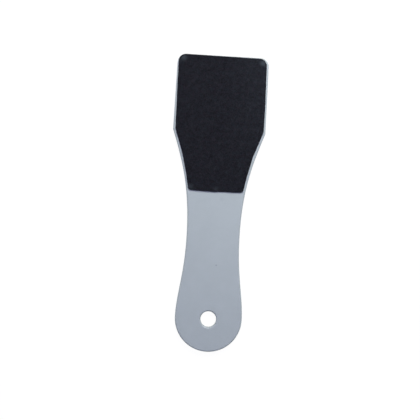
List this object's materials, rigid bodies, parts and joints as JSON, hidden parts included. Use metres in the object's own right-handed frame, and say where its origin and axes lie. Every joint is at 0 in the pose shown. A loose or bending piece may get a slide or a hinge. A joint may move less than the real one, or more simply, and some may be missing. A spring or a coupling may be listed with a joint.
{
  "type": "foot file",
  "caption": "Flat plastic foot file with a waisted grip, a round end with a hanging hole, and an abrasive sheet on each face of its broad head.",
  "frame": {"origin": "under the middle of the file's length and width, on the plane that the fine grit rests on", "axes": "+Y along the file from the round handle end to the head's tip, +Z out of the coarse face, +X across the file"},
  "size_m": [0.0562, 0.18, 0.0058],
  "materials": {
    "paddle_plastic": "fine matt moulded texture",
    "adhesive": "clear pressure-sensitive film, seen only at the cut edge",
    "backing": "resin-filled woven cloth, seen only at the cut edge",
    "resin": "dark resin bond, dull",
    "coarse_grit": "coarse dark grains bonded in resin",
    "fine_grit": "fine dark grains bonded in resin"
  },
  "bodies": {
    "root": {"paddle_body": "paddle_plastic", "coarse_adhesive_film": "adhesive", "coarse_backing_sheet": "backing", "coarse_resin_coat": "resin", "coarse_grit_layer": "coarse_grit", "fine_adhesive_film": "adhesive", "fine_backing_sheet": "backing", "fine_resin_coat": "resin", "fine_grit_layer": "fine_grit"}
  },
  "joints": []
}
